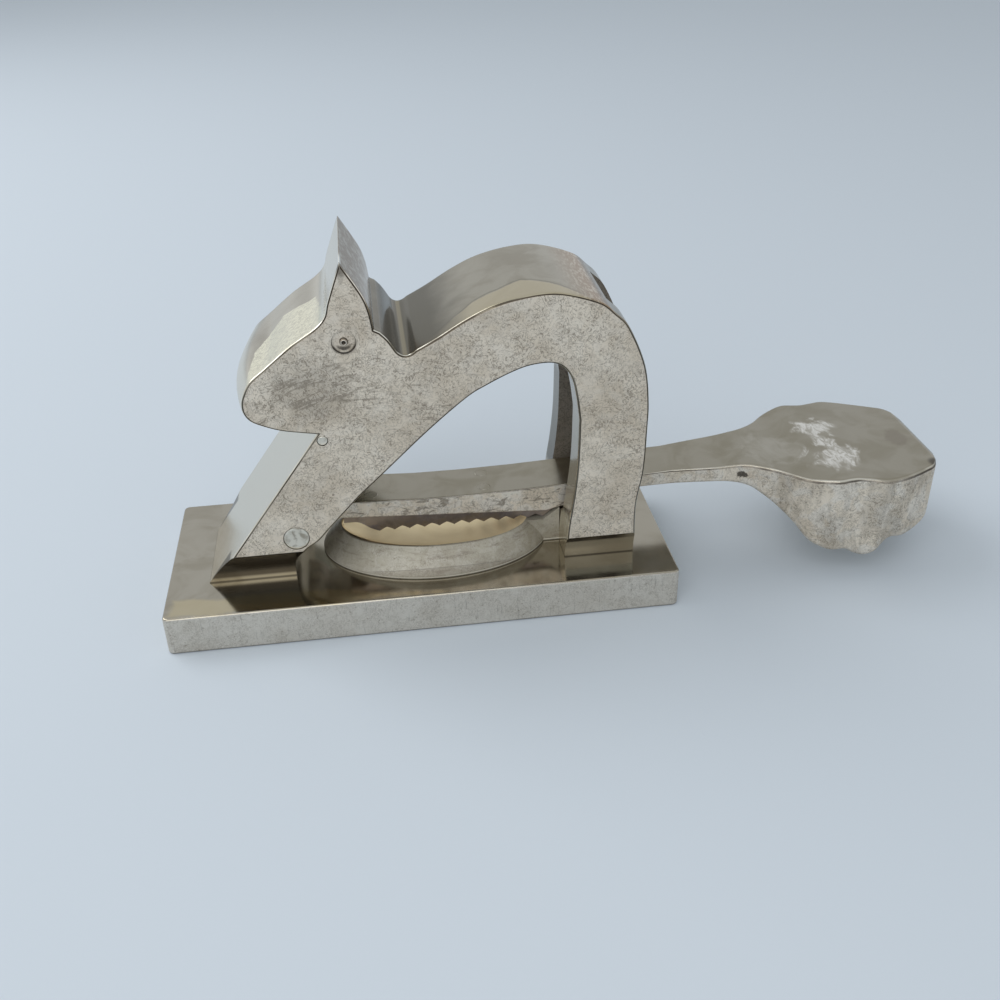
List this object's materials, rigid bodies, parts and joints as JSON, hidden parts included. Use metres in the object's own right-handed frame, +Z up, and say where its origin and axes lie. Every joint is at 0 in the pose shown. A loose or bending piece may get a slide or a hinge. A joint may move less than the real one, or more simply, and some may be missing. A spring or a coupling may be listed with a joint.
{
  "type": "lever nutcracker press",
  "caption": "Table nutcracker shaped as a squirrel on a flat base: its tail is a hinged lever with a toothed jaw that presses a nut into a bowl.",
  "frame": {"origin": "centre of the base plate's flat underside", "axes": "+Z up, +X along the object from the nose to the tail, +Y to the squirrel's left, as seen from behind its tail"},
  "size_m": [0.2162, 0.057, 0.1003],
  "materials": {
    "base_nickel": "polished nickel plate, hazy with age",
    "body_nickel": "nickel plate, polished on the edges, mottled matte on the side faces",
    "lever_nickel": "nickel plate, worn matte on the sides and the tail",
    "jaw_nickel": "dark nickel plate",
    "pin_steel": "flush ground",
    "screw_steel": "plain"
  },
  "bodies": {
    "stand": {"base_plate": "base_nickel", "squirrel_body": "body_nickel", "lower_jaw": "body_nickel", "pivot_pin": "pin_steel", "throat_pin": "pin_steel", "eye_stud_left": "pin_steel", "eye_stud_right": "pin_steel", "fore_foot_screw_left": "screw_steel", "fore_foot_screw_right": "screw_steel", "hind_foot_screw_left": "screw_steel", "hind_foot_screw_right": "screw_steel", "lower_jaw_screw_front": "screw_steel", "lower_jaw_screw_rear": "screw_steel"},
    "lever": {"tail_lever": "lever_nickel", "upper_jaw": "jaw_nickel", "jaw_rivet_front_left": "pin_steel", "jaw_rivet_front_right": "pin_steel", "jaw_rivet_rear_left": "pin_steel", "jaw_rivet_rear_right": "pin_steel"}
  },
  "joints": [
    {"name": "lever_pivot", "type": "hinge", "parent": "stand", "child": "lever", "pos_m": [-0.03275, 0, 0.0267], "axis": [0, -1, 0], "range_deg": [0, 30]}
  ]
}
